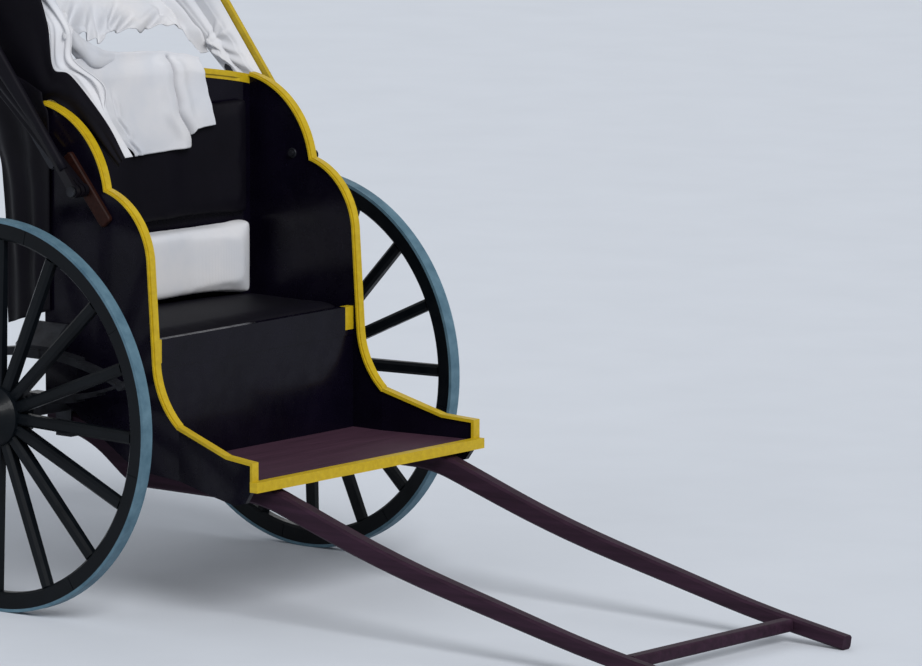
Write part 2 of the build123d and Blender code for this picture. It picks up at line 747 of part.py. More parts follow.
# Hood: wooden blocks on the body's sides, pins and stays
for side, sign, _ in SIDES:
    block_turn = math.radians(-BLOCK_LEAN)
    block_plane = Plane(
        origin=(PIVOT_X, sign * BODY_HALF, PIVOT_Z),
        x_dir=(math.sin(block_turn), 0, math.cos(block_turn)),
        z_dir=(0, sign, 0),
    )
    with BuildPart() as block:
        with BuildSketch(block_plane):
            RectangleRounded(BLOCK_LENGTH, BLOCK_WIDE, 10)
        extrude(amount=BLOCK_THICK)
        chamfer(block.faces().sort_by(Axis.Y)[-1 if sign > 0 else 0].edges(), length=3)
    save(block, f"hood_block_{side}")

    pin_plane = Plane(
        origin=(PIVOT_X, sign * (BODY_HALF + BLOCK_THICK), PIVOT_Z), x_dir=(1, 0, 0), z_dir=(0, sign, 0)
    )
    with BuildPart() as pin:
        with BuildSketch(pin_plane):
            Circle(PIN_R)
        extrude(amount=PIN_LONG)
        with BuildSketch(pin_plane.offset(PIN_LONG - 2)):
            Circle(PIN_R + PIN_HEAD)
        extrude(amount=PIN_HEAD)
    save(pin, f"hood_pin_{side}")

    # Flat iron stay that holds the rear bow, from a foot on the side panel
    _, rear_degrees, rear_half, _ = BOWS[0]
    rear_lean = math.radians(rear_degrees)
    stay_head = (PIVOT_DX - STAY_REACH * math.sin(rear_lean), PIVOT_Z + STAY_REACH * math.cos(rear_lean))
    stay_middle = ((STAY_FOOT[0] + stay_head[0]) / 2, (STAY_FOOT[1] + stay_head[1]) / 2)
    stay_inner = rear_half - BOW_THICK
    with BuildPart() as stay:
        with BuildSketch(side_plane(sign * (stay_inner - STAY_THICK / 2))):
            SlotCenterPoint(center=stay_middle, point=stay_head, height=STAY_WIDE)
        extrude(amount=STAY_THICK / 2, both=True)
        foot_middle = (stay_inner - STAY_THICK + BODY_HALF) / 2
        with BuildSketch(side_plane(sign * foot_middle)):
            with Locations(STAY_FOOT):
                Circle(STAY_WIDE / 2 + 2)
        extrude(amount=foot_middle - BODY_HALF, both=True)
    save(stay, f"hood_stay_{side}")

# Hood bows, bent from flat strips, and the cloth that hangs behind each when it is folded
for name, lean, half, reach in BOWS:
    with BuildPart() as bow:
        with BuildSketch(bow_plane(lean)):
            for inset, mode in ((0, Mode.ADD), (BOW_THICK, Mode.SUBTRACT)):
                edge = half - inset
                top = reach - inset
                with BuildLine():
                    FilletPolyline((-edge, 0), (-edge, top), (edge, top), (edge, 0), radius=BOW_CORNER - inset)
                    Line((edge, 0), (-edge, 0))
                make_face(mode=mode)
        extrude(amount=BOW_WIDE / 2, both=True)
        for side, sign, _ in SIDES:
            eye = Plane(
                origin=(PIVOT_X, sign * (half - BOW_THICK), PIVOT_Z), x_dir=(1, 0, 0), z_dir=(0, sign, 0)
            )
            with BuildSketch(eye):
                Circle(BOW_EYE_R)
            extrude(amount=BOW_THICK)
            with BuildSketch(eye.offset(-1)):
                Circle(PIN_R + ARM_CLEARANCE)
            extrude(amount=BOW_THICK + 2, mode=Mode.SUBTRACT)
    save(bow, f"hood_bow_{name}")

    with BuildPart() as cloth:
        for turn, inner_half, inner_reach, thick, start in CLOTH_SECTIONS[name]:
            with BuildSketch(bow_plane(turn)):
                for grow, mode in ((thick, Mode.ADD), (0, Mode.SUBTRACT)):
                    edge = inner_half + grow
                    top = inner_reach + grow
                    with BuildLine():
                        FilletPolyline(
                            (-edge, start), (-edge, top), (edge, top), (edge, start), radius=BOW_CORNER + grow
                        )
                        Line((edge, start), (-edge, start))
                    make_face(mode=mode)
        loft(ruled=True)
    save(cloth, f"hood_cloth_{name}")

# Curtain drawn up inside the rear bow, its right end falling forward inside the body
# Distance along y and reach from the pivot of the curtain's lower edge, from right to left
HEM = [
    (-414.0, 430.0),
    (-300.0, 465.0),
    (-60.0, 505.0),
    (120.0, 525.0),
    (330.0, 490.0),
    (395.0, 372.0),
    (414.0, 340.0),
]
CURTAIN_TOP = 760.0
CURTAIN_THICK = 16.0
# Side view of the falling end, forward of the axle and up
FALL_END = [
    (244.0, 1151.0),
    (156.0, 1243.0),
    (150.0, 1318.0),
    (49.0, 1371.0),
    (29.0, 1431.0),
    (-30.0, 1500.0),
    (-300.0, 1600.0),
    (-400.0, 1525.0),
    (-210.0, 1362.0),
    (-85.0, 1374.0),
    (-55.0, 1305.0),
    (39.0, 1294.0),
    (199.0, 1114.0),
]
FALL_Y = -365.0
with BuildPart() as curtain:
    with BuildSketch(bow_plane(rear_degrees)):
        with BuildLine():
            FilletPolyline(
                HEM[-1],
                (HEM[-1][0], CURTAIN_TOP),
                (HEM[0][0], CURTAIN_TOP),
                HEM[0],
                radius=BOW_CORNER - BOW_THICK - 2,
            )
            Polyline(*HEM)
        make_face()
    extrude(amount=CURTAIN_THICK / 2, both=True)
    with BuildSketch(side_plane(FALL_Y)):
        with BuildLine():
            Polyline(*FALL_END, close=True)
        make_face()
    extrude(amount=CURTAIN_THICK / 2, both=True)
save(curtain, "hood_curtain")
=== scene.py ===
import bpy
import bmesh
import json
import math
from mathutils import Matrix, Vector, noise


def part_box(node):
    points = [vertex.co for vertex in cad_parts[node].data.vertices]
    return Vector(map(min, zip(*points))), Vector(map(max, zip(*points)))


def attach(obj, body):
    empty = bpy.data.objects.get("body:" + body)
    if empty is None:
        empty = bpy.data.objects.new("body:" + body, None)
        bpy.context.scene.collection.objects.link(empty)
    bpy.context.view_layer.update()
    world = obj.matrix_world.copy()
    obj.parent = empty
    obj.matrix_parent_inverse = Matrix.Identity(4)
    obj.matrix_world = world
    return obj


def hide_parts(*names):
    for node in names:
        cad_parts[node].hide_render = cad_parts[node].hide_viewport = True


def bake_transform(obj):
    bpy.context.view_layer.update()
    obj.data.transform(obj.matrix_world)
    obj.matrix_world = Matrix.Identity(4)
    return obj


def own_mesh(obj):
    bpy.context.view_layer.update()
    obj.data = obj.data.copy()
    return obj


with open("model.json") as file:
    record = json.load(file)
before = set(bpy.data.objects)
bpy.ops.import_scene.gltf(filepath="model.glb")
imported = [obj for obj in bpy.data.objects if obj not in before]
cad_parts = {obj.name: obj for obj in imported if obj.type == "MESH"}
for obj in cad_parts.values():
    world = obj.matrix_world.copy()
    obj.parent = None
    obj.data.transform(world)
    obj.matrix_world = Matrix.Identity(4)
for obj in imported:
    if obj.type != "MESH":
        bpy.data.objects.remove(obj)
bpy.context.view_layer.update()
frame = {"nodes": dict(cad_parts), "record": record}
NODES = frame["nodes"]
scene = bpy.context.scene

# The axle's place in the frame, and the hood's pivot forward of it and over the floor
AXLE_X = sum(corner[0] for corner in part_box("axle")) / 2
PIVOT_FORWARD = 0.130
PIVOT_HEIGHT = 1.065
PIVOT = Vector((AXLE_X + PIVOT_FORWARD, 0.0, PIVOT_HEIGHT))
# Thickness of the lining, of the hood, curtain and hanging ends, and of the cloth over the crest
LINING_CLOTH = 0.0012
HOOD_CLOTH = 0.0018
CREST_CLOTH = 0.0022


def at(x, y, z):
    """Point at x forward of the axle, y to the left and z up."""
    return Vector((AXLE_X + x, y, z))


# Materials: the colour sockets' places among those of a Mix node, and the scale of woven cloth
MIX_FIRST = 6
MIX_SECOND = 7
MIX_RESULT = 2
WEAVE_SCALE = 900.0 / 6.28


def lin(*rgb):
    """Linear colour from 0-255 display values."""
    shares = [value / 255 for value in rgb]
    return tuple(c / 12.92 if c <= 0.04045 else ((c + 0.055) / 1.055) ** 2.4 for c in shares)


class Nodes:
    """Short way to add and link the nodes of one material."""

    def __init__(self, name):
        self.mat = bpy.data.materials.new(name)
        self.mat.use_nodes = True
        self.tree = self.mat.node_tree
        self.tree.nodes.clear()

    def add(self, kind, inputs=(), **settings):
        """New node with these settings, and its inputs linked to sockets or set to values."""
        node = self.tree.nodes.new(kind)
        for key, value in settings.items():
            setattr(node, key, value)
        for key, value in dict(inputs).items():
            if isinstance(value, bpy.types.NodeSocket):
                self.tree.links.new(value, node.inputs[key])
            else:
                node.inputs[key].default_value = value
        return node

    def place(self, stretch=(1, 1, 1)):
        """Place on the object, stretched along each axis."""
        coords = self.add("ShaderNodeTexCoord").outputs["Object"]
        return self.add("ShaderNodeMapping", {"Vector": coords, "Scale": stretch}).outputs["Vector"]

    def noise(self, scale, detail=4.0, rough=0.55, stretch=(1, 1, 1)):
        """Uneven values from 0 to 1 over the object."""
        inputs = {"Vector": self.place(stretch), "Scale": scale, "Detail": detail, "Roughness": rough}
        return self.add("ShaderNodeTexNoise", inputs).outputs["Fac"]

    def ramp(self, fac, stops):
        """Colour that runs through the stops, each a share and its colour."""
        node = self.add("ShaderNodeValToRGB", {"Fac": fac})
        elements = node.color_ramp.elements
        while len(elements) < len(stops):
            elements.new(0.5)
        for element, (place, colour) in zip(elements, stops):
            element.position = place
            element.color = (*colour, 1)
        return node.outputs["Color"]

    def mix(self, fac, first, second):
        """Colour from the first to the second as fac runs from 0 to 1."""
        node = self.add("ShaderNodeMix", {"Factor": fac}, data_type="RGBA")
        for socket, value in ((node.inputs[MIX_FIRST], first), (node.inputs[MIX_SECOND], second)):
            if isinstance(value, bpy.types.NodeSocket):
                self.tree.links.new(value, socket)
            else:
                socket.default_value = (*value, 1)
        return node.outputs[MIX_RESULT]

    def combine(self, operation, first, second):
        """Sum, product or larger one of two values."""
        return self.add("ShaderNodeMath", {0: first, 1: second}, operation=operation).outputs["Value"]

    def span(self, fac, low, high, start=0.0, end=1.0):
        """Value from low to high as fac runs from start to end."""
        inputs = {"Value": fac, "From Min": start, "From Max": end, "To Min": low, "To Max": high}
        return self.add("ShaderNodeMapRange", inputs).outputs["Result"]

    def bump(self, height, strength, distance):
        """Surface direction over a fine relief."""
        inputs = {"Height": height, "Strength": strength, "Distance": distance}
        return self.add("ShaderNodeBump", inputs).outputs["Normal"]

    def finish(self, colour, rough, specular, more=()):
        """The material whose shader has these inputs, and more by their names."""
        inputs = {"Base Color": colour, "Roughness": rough, "Specular IOR Level": specular, **dict(more)}
        shader = self.add("ShaderNodeBsdfPrincipled", inputs)
        out = self.add("ShaderNodeOutputMaterial")
        self.tree.links.new(shader.outputs["BSDF"], out.inputs["Surface"])
        return self.mat


def lacquer(name, base, rough=0.22, coat=0.08):
    """Black lacquer with a thin clear coat, its gloss a little uneven."""
    m = Nodes(name)
    lighter = tuple(c * 1.8 + 0.0008 for c in base)
    colour = m.ramp(m.noise(scale=7.0, detail=6.0), [(0.35, base), (0.8, lighter)])
    gloss = m.span(m.noise(scale=24.0, detail=7.0), rough * 0.8, rough * 1.7, start=0.3, end=0.75)
    normal = m.bump(m.noise(scale=40.0, detail=3.0), strength=0.05, distance=0.001)
    more = {"Normal": normal, "Coat Weight": coat, "Coat Roughness": 0.1}
    return m.finish(colour, gloss, specular=0.11, more=more)


def wood(name, dark, light, rough=0.5, stretch=(3, 60, 60), bump=0.25, specular=0.3):
    """Wood or painted wood, its fibre along the axis with the smallest stretch."""
    m = Nodes(name)
    fibre = m.noise(scale=1.0, detail=8.0, rough=0.65, stretch=stretch)
    middle = tuple((a + b) / 2 for a, b in zip(dark, light))
    colour = m.ramp(fibre, [(0.25, dark), (0.55, middle), (0.8, light)])
    gloss = m.span(fibre, rough * 0.85, rough * 1.25)
    normal = m.bump(fibre, strength=bump, distance=0.002)
    return m.finish(colour, gloss, specular, {"Normal": normal})


def bow_wood(name, dark, light, black):
    """Yellow bentwood, black on the outward faces and at the feet by the pivot."""
    m = Nodes(name)
    fibre = m.noise(scale=1.0, detail=8.0, rough=0.65, stretch=(40, 6, 40))
    yellow = m.ramp(fibre, [(0.25, dark), (0.8, light)])
    coords = m.add("ShaderNodeTexCoord").outputs
    across = m.add("ShaderNodeSeparateXYZ", {"Vector": coords["Object"]}).outputs["Y"]
    facing = m.add("ShaderNodeSeparateXYZ", {"Vector": coords["Normal"]}).outputs["Y"]
    outer = m.span(m.combine("MULTIPLY", across, facing), 0.0, 1.0, start=0.25, end=0.30)
    from_pivot = {"Vector": coords["Object"], "Location": (-PIVOT.x, 0.0, -PIVOT.z), "Scale": (1, 0, 1)}
    around = m.add("ShaderNodeMapping", from_pivot).outputs["Vector"]
    reach = m.add("ShaderNodeVectorMath", {0: around}, operation="LENGTH").outputs["Value"]
    foot = m.span(reach, 1.0, 0.0, start=0.135, end=0.140)
    colour = m.mix(m.combine("MAXIMUM", outer, foot), yellow, black)
    gloss = m.span(fibre, 0.34, 0.52)
    normal = m.bump(fibre, strength=0.08, distance=0.002)
    return m.finish(colour, gloss, specular=0.25, more={"Normal": normal})


def iron(name, dark, light, metallic, rough=0.42, specular=0.4):
    """Forged iron, patchy and finely rough."""
    m = Nodes(name)
    patch = m.noise(scale=22.0, detail=7.0, rough=0.6)
    colour = m.ramp(patch, [(0.3, dark), (0.7, light)])
    gloss = m.span(m.noise(scale=70.0, detail=5.0), rough * 0.75, rough * 1.4)
    normal = m.bump(m.noise(scale=160.0, detail=4.0), strength=0.15, distance=0.0008)
    return m.finish(colour, gloss, specular, {"Normal": normal, "Metallic": metallic})


def cloth(name, base, shade, rough=0.85, specular=0.2, sheen=0.0):
    """Woven cloth, a little uneven in colour."""
    m = Nodes(name)
    colour = m.ramp(m.noise(scale=6.0, detail=5.0), [(0.3, shade), (0.7, base)])
    threads = []
    for direction in ("X", "Z"):
        inputs = {"Vector": m.place(), "Scale": WEAVE_SCALE, "Distortion": 0.6}
        wave = m.add("ShaderNodeTexWave", inputs, bands_direction=direction)
        threads.append(wave.outputs["Fac"])
    normal = m.bump(m.combine("ADD", *threads), strength=0.12, distance=0.0006)
    more = {"Normal": normal, "Sheen Weight": sheen, "Sheen Roughness": 0.5}
    return m.finish(colour, rough, specular, more)


MATERIALS = {
    "tyre": iron("tyre_iron", lin(66, 95, 111), lin(92, 121, 136), metallic=0.1, rough=0.55, specular=0.25),
    "wheel_black": lacquer("wheel_black", lin(5, 8, 12), rough=0.34, coat=0.05),
    "iron": iron("dark_iron", lin(26, 27, 32), lin(52, 54, 60), metallic=0.6),
    "shaft_brown": wood("shaft_brown", lin(31, 19, 29), lin(58, 37, 53), rough=0.55, specular=0.1),
    "lacquer": lacquer("black_lacquer", lin(6, 4, 14)),
    "yellow": wood("yellow_moulding", lin(168, 140, 14), lin(198, 170, 30), rough=0.42, bump=0.06),
    "floor_brown": wood(
        "floor_brown", lin(52, 33, 45), lin(76, 50, 66), rough=0.6, stretch=(60, 3, 60), specular=0.15
    ),
    "block_brown": wood("block_brown", lin(24, 9, 6), lin(46, 20, 14), stretch=(60, 60, 60), specular=0.15),
    "seat_black": cloth("seat_black", lin(11, 9, 18), lin(6, 5, 12), rough=0.6, specular=0.12),
    "white_cloth": cloth("white_cotton", lin(208, 207, 209), lin(193, 196, 203), sheen=0.1),
    "hood_black": cloth("hood_black", lin(12, 10, 19), lin(6, 5, 12), rough=0.6, specular=0.12),
    "bow_yellow": bow_wood("bow_yellow", lin(158, 132, 24), lin(190, 164, 40), lin(9, 7, 14)),
}
SLOT_OF = {row["node"]: row["material_slot"] for row in frame["record"]["subparts"]}
for name, obj in NODES.items():
    obj.data.materials.clear()
    obj.data.materials.append(MATERIALS[SLOT_OF[name]])


# Meshes
def new_mesh(name, points, faces):
    """Mesh of these points and faces."""
    mesh = bpy.data.meshes.new(name)
    mesh.from_pydata(points, [], faces)
    return mesh


def grid_faces(rows, columns, closed=False):
    """Four-cornered faces of a grid of points, whose last column is joined to the first if it is closed."""
    faces = []
    for i in range(rows - 1):
        for j in range(columns if closed else columns - 1):
            k = (j + 1) % columns
            faces.append((i * columns + j, i * columns + k, (i + 1) * columns + k, (i + 1) * columns + j))
    return faces


def add_object(name, mesh, slot):
    """New object with a slot's material, shaded smooth."""
    obj = bpy.data.objects.new(name, mesh)
    scene.collection.objects.link(obj)
    mesh.materials.append(MATERIALS[slot])
    mesh.polygons.foreach_set("use_smooth", [True] * len(mesh.polygons))
    return obj


def apply_modifiers(obj):
    """Give the object the mesh that its modifiers make, and take them off."""
    bpy.context.view_layer.update()
    solid = obj.evaluated_get(bpy.context.evaluated_depsgraph_get())
    mesh = bpy.data.meshes.new_from_object(solid)
    obj.modifiers.clear()
    obj.data = mesh


def sheet_piece(name, us, vs, place, slot, thick):
    """Thin cloth whose middle runs through place(u, v) for every u and v, and its area."""
    points = [place(u, v) for u in us for v in vs]
    obj = add_object(name, new_mesh(name, points, grid_faces(len(us), len(vs))), slot)
    area = sum(face.area for face in obj.data.polygons)
    solid = obj.modifiers.new("thickness", "SOLIDIFY")
    solid.thickness = thick
    solid.offset = 0.0
    apply_modifiers(obj)
    return obj, area


# Curves and folds
def steps(count):
    """Shares from 0 to 1 in so many equal steps."""
    return [i / count for i in range(count + 1)]


def along(points, t):
    """Smooth curve through the points at share t, from 0 to 1."""
    spot = min(max(t, 0.0), 1.0) * (len(points) - 1)
    i = min(int(spot), len(points) - 2)
    f = spot - i
    b, c = Vector(points[i]), Vector(points[i + 1])
    a = Vector(points[i - 1]) if i > 0 else b * 2 - c
    d = Vector(points[i + 2]) if i + 2 < len(points) else c * 2 - b
    return 0.5 * (
        2 * b + (c - a) * f + (2 * a - 5 * b + 4 * c - d) * f * f + (3 * b - a - 3 * c + d) * f * f * f
    )


def ease(value, low, high):
    """Soft step from 0 at the low value to 1 at the high one."""
    t = min(max((value - low) / (high - low), 0.0), 1.0)
    return t * t * (3 - 2 * t)


def table_at(rows, x):
    """Value at x of a table of (x, value) rows, level at each row and smooth between them."""
    if x <= rows[0][0]:
        return rows[0][1]
    for (x0, v0), (x1, v1) in zip(rows, rows[1:]):
        if x <= x1:
            f = (x - x0) / (x1 - x0)
            return v0 + (v1 - v0) * f * f * (3 - 2 * f)
    return rows[-1][1]


def line_at(rows, x):
    """Value at x of a table of (x, value) rows, straight between them."""
    for (x0, v0), (x1, v1) in zip(rows, rows[1:]):
        if x <= x1:
            return v0 + (v1 - v0) * (x - x0) / (x1 - x0)
    return rows[-1][1]


def ripple(*place):
    """Smooth unevenness at a place, from about -1 to 1."""
    return noise.noise(Vector(place))


def mound(gap, width):
    """Bell curve, 1 at no gap and about a third at one width from it."""
    return math.exp(-((gap / width) ** 2))


def crease(p, start, end, wide, deep):
    """Depth of a fold that narrows and fades from start to end, with a ridge on each side of it."""
    line = Vector(end) - Vector(start)
    share = min(max((Vector(p) - Vector(start)).dot(line) / line.length_squared, -0.1), 1.15)
    gap = (Vector(p) - (Vector(start) + line * share)).length
    width = wide * (1.1 - 0.35 * max(share, 0.0))
    fade = 1 - ease(share, 0.35, 1.1)
    return deep * fade * (mound(gap, width) - 0.45 * mound(gap - 2.1 * width, width))


# Hood: shares of a bow's path at which its leg and its corner end, and the corner's radius
LEG = 0.3
CORNER = 0.4
BOW_CORNER = 0.150
# How far the bows lean back with the hood folded, in degrees
REAR_LEAN = 49.0
MID_LEAN = 43.5
FRONT_LEAN = 38.0


def hoop(v, half, reach, start, corner=BOW_CORNER):
    """Place across and out from the pivot at share v of a bow's path, and the outward direction there."""
    if v > 0.5:
        y, r, ny, nr = hoop(1 - v, half, reach, start, corner)
        return -y, r, -ny, nr
    if v <= LEG:
        return -half, start + (reach - corner - start) * v / LEG, -1.0, 0.0
    if v <= CORNER:
        turn = (v - LEG) / (CORNER - LEG) * math.pi / 2
        cos, sin = math.cos(turn), math.sin(turn)
        return -half + corner - corner * cos, reach - corner + corner * sin, -cos, sin
    return (corner - half) * (0.5 - v) / (0.5 - CORNER), reach, 0.0, 1.0


def hoop_steps(legs, corners, across):
    """Shares of a bow's path, so many for each leg, each corner and the stretch across."""
    leg = [LEG * i / legs for i in range(legs)]
    corner = [LEG + (CORNER - LEG) * i / corners for i in range(corners)]
    middle = [CORNER + (1 - 2 * CORNER) * i / across for i in range(across + 1)]
    return leg + corner + middle + [1 - v for v in reversed(leg + corner)]


def bow_point(lean, y, r, n=0.0):
    """Point y across, r out from the pivot and n before the plane of a bow that leans so far."""
    turn = math.radians(lean)
    cos, sin = math.cos(turn), math.sin(turn)
    return PIVOT + Vector((-sin * r + cos * n, y, cos * r + sin * n))


COARSE = hoop_steps(legs=20, corners=8, across=20)
FINE = hoop_steps(legs=70, corners=12, across=30)
MID_INWARD = Vector((math.sin(math.radians(MID_LEAN)), 0, -math.cos(math.radians(MID_LEAN))))


def blend_hood(piece):
    """Bake the piece's placement into its mesh."""
    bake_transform(piece)


# Black cover outside the bows: half width and reach at the rear bow, and how much more at the front bow
COVER_HALF, COVER_WIDER = 0.434, 0.034
COVER_REACH, COVER_FURTHER = 0.779, 0.028
COVER_START = 0.062
COVER_BULGE = 0.015
COVER_UNEVEN = 0.004
# Reach from the pivot at which it begins to swell and swells fully
COVER_FREE = (0.1, 0.5)
# Lean of each row from the rear bow to the front one
COVER_LEANS = [
    49.0, 48.2, 47.0, 46.0, 45.3, 44.8, 44.4, 44.0, 43.5, 43.0, 42.6, 42.2, 41.7, 41.0, 40.0, 38.9, 38.0
]
# Rows that wrap the rear bow, the front bow on the right, and the front bow elsewhere: before it, out of it
WRAP_REAR = [(-0.0120, -0.0140), (-0.0150, -0.0080), (-0.0152, -0.0020), (-0.0125, 0.0), (-0.0060, 0.0)]
WRAP_RIGHT = [
    (0.006, 0.0), (0.012, 0.0), (0.0152, -0.0015), (0.0160, -0.0080), (0.0158, -0.0140), (0.0120, -0.0170)
]
WRAP_REST = [
    (0.002, 0.0), (0.004, 0.0), (0.006, 0.0), (0.0075, -0.0002), (0.0085, -0.0004), (0.0095, -0.0006)
]
# Share of the bow's path past its right corner where the wraps end, and how much of the rear one goes on
WRAP_FADE = 0.03
WRAP_ON = 0.35


def cover_swell(lean, y, r):
    """How far the cover swells out between two bows."""
    phase = (lean - FRONT_LEAN) / (MID_LEAN - FRONT_LEAN) % 1.0
    free = ease(r, *COVER_FREE)
    uneven = min(1.0, 6 * phase * (1 - phase) + 0.15)
    bulge = COVER_BULGE * math.sin(math.pi * phase) * free
    return bulge + COVER_UNEVEN * free * ripple(y * 9, r * 9, lean * 0.55) * uneven


def cover_place(i, v):
    """Point of the cover's row i, from the rear, at share v of the way over the bows."""
    i -= len(WRAP_REAR)
    lean = COVER_LEANS[min(max(i, 0), len(COVER_LEANS) - 1)]
    share = (REAR_LEAN - lean) / (REAR_LEAN - FRONT_LEAN)
    half = COVER_HALF + COVER_WIDER * share
    reach = COVER_REACH + COVER_FURTHER * share
    y, r, ny, nr = hoop(v, half, reach, COVER_START)
    right = 1 - ease(v, LEG, CORNER + WRAP_FADE)
    if i < 0:
        n, out = WRAP_REAR[i]
        n *= WRAP_ON + (1 - WRAP_ON) * right
        out *= right
    elif i >= len(COVER_LEANS):
        pair = zip(WRAP_RIGHT[i - len(COVER_LEANS)], WRAP_REST[i - len(COVER_LEANS)])
        n, out = [near * right + rest * (1 - right) for near, rest in pair]
    else:
        n, out = 0.0, cover_swell(lean, y, r)
    return bow_point(lean, y + ny * out, r + nr * out, n)


rows = range(len(WRAP_REAR) + len(COVER_LEANS) + len(WRAP_RIGHT))
hood_cover, area = sheet_piece("hood_cover", rows, COARSE, cover_place, "hood_black", HOOD_CLOTH)
blend_hood(hood_cover)
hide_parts("hood_cloth_mid", "hood_cloth_front")

# White lining inside the bows: lean, distance before the bow's plane, half width, reach
LINING = [
    (REAR_LEAN, -0.0135, 0.4150, 0.7600),
    (REAR_LEAN, 0.0120, 0.4155, 0.7605),
    (MID_LEAN, -0.0120, 0.4315, 0.7740),
    (MID_LEAN, 0.0125, 0.4325, 0.7745),
    (FRONT_LEAN, -0.0025, 0.4495, 0.7885),
]
# The stretches of it that hang free between two bows
FREE_STRETCHES = (1, 3)
LINING_CORNER = 0.140
# Where it starts from the pivot at the front bow, and how much further at the rear one
LINING_START, LINING_HIGHER = 0.205, 0.055
LINING_SLACK, LINING_UNEVEN = 0.004, 0.005
MOST_INWARD = 0.016
# Folds that spread over its left side: start and end, forward of the axle and up, width and height
GATHER_FROM = 0.3
GATHER = [
    ((-0.178, 1.345), (-0.118, 1.384), 0.008, 0.012),
    ((-0.178, 1.340), (-0.060, 1.312), 0.009, 0.014),
    ((-0.182, 1.338), (-0.158, 1.410), 0.007, 0.010),
    ((-0.165, 1.318), (-0.020, 1.272), 0.011, 0.016),
]


def gathers(p, u):
    """Height of the folds at a point of the lining, share u of the way forward."""
    spot = Vector((p.x - AXLE_X, p.z))
    height = 0.0
    for start, end, wide, tall in GATHER:
        line = Vector(end) - Vector(start)
        away = spot - Vector(start)
        share = min(max(away.dot(line) / line.length_squared, 0.0), 1.0)
        gap = (away - line * share).length
        fade = (1 - ease(share, 0.45, 1.0)) * ease(u, 0.02, 0.15) * (1 - ease(u, 0.85, 0.98))
        height += tall * mound(gap, wide * (0.6 + 0.9 * share)) * fade
    return height


def lining_place(u, v):
    """Point of the lining at share u of the way forward and share v of the way over the bows."""
    spot = u * (len(LINING) - 1)
    i = min(int(spot), len(LINING) - 2)
    ends = []
    for lean, n, half, reach in LINING[i : i + 2]:
        start = LINING_START + LINING_HIGHER * (lean - FRONT_LEAN) / (REAR_LEAN - FRONT_LEAN)
        y, r, ny, nr = hoop(v, half, reach, start, LINING_CORNER)
        ends.append(bow_point(lean, y, r, n))
    p = ends[0].lerp(ends[1], spot - i)
    slack = math.sin(math.pi * (spot - i)) ** 2 if i in FREE_STRETCHES else 0.0
    inward = slack * (LINING_SLACK + LINING_UNEVEN * ripple(r * 6, y * 4, u * 2.2))
    if y > GATHER_FROM:
        inward += gathers(p, u)
    inward = min(inward, MOST_INWARD)
    return p + Vector((0, -ny, 0)) * inward + MID_INWARD * nr * inward


hood_lining, area = sheet_piece("hood_lining", steps(64), FINE, lining_place, "white_cloth", LINING_CLOTH)
blend_hood(hood_lining)

# Spare cloth of the hood, hanging in pleats behind the rear bow: lean and distance outside the bow
FIRST_PLEAT = 49.3
PLEATS = [
    (FIRST_PLEAT, 0.004), (50.2, 0.020), (51.4, 0.033), (52.6, 0.036), (53.5, 0.024), (53.9, 0.020),
    (54.6, 0.033), (55.8, 0.042), (56.9, 0.039), (57.6, 0.026), (57.9, 0.021), (58.6, 0.029),
    (59.6, 0.029), (60.4, 0.020), (60.5, 0.010), (59.6, 0.006), (58.0, 0.010), (56.0, 0.014),
    (54.0, 0.012), (52.0, 0.008), (50.4, 0.003),
]
PLEAT_HALF = 0.431
PLEAT_REACH = 0.776
# Where they start from the pivot, and how much further the last pleats and the left side do
PLEAT_START, LAST_HIGHER, LEFT_HIGHER = 0.40, 0.075, 0.13
# Share of their depth that is left where they are gathered, at both ends
GATHERED = 0.35
PLEAT_UNEVEN = 0.004
PLEAT_SAG = 0.54


def pleat_place(i, v):
    """Point of the pleats' row i at share v of the way over the rear bow."""
    lean, out = PLEATS[i]
    start = PLEAT_START + LAST_HIGHER * ease(lean, FIRST_PLEAT, 57.0) + LEFT_HIGHER * ease(v, 0.55, 0.65)
    y, r, ny, nr = hoop(v, PLEAT_HALF, PLEAT_REACH, start)
    middle = ease(v, 0.0, 0.06) * ease(1 - v, 0.0, 0.06)
    gather = GATHERED + (1 - GATHERED) * middle
    loose = ease(lean, 50.0, 54.0) * (1 - ease(lean, 59.0, 60.5))
    sag = PLEAT_SAG * ripple(y * 3.1, r * 3.1, 7.0 + lean * 0.12) * middle * loose
    lean = FIRST_PLEAT + (lean - FIRST_PLEAT) * gather + sag
    out = out * gather + PLEAT_UNEVEN * ripple(y * 11, r * 11, lean * 0.8) * middle
    return bow_point(lean, y + ny * out, r + nr * out)


hood_folds, area = sheet_piece(
    "hood_folds", range(len(PLEATS)), COARSE, pleat_place, "hood_black", HOOD_CLOTH
)
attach(hood_folds, "cart")
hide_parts("hood_cloth_rear")
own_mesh(hood_folds)

# White curtain drawn up inside the rear bow: its size there, and y and reach of its lower edge
CURTAIN_HALF = 0.412
CURTAIN_REACH = 0.757
CURTAIN_CORNER = 0.135
CORNER_FROM = 0.279
CURTAIN_UNEVEN = 0.006
# The folds' depth at the hem to the one in their list, half of what it is at the top
FOLD_GAIN = 1.1
# How far it stands before the bow's plane and hangs behind it
MOST_BEFORE, MOST_BEHIND = 0.020, 0.034
HEM = [
    (-0.412, 0.480), (-0.300, 0.500), (-0.180, 0.505), (-0.100, 0.515), (-0.050, 0.512), (-0.026, 0.495),
    (-0.004, 0.485), (0.049, 0.475), (0.0895, 0.4955), (0.126, 0.502), (0.211, 0.4876), (0.254, 0.503),
    (0.330, 0.494), (0.385, 0.488), (0.396, 0.450), (0.404, 0.408), (0.412, 0.400),
]
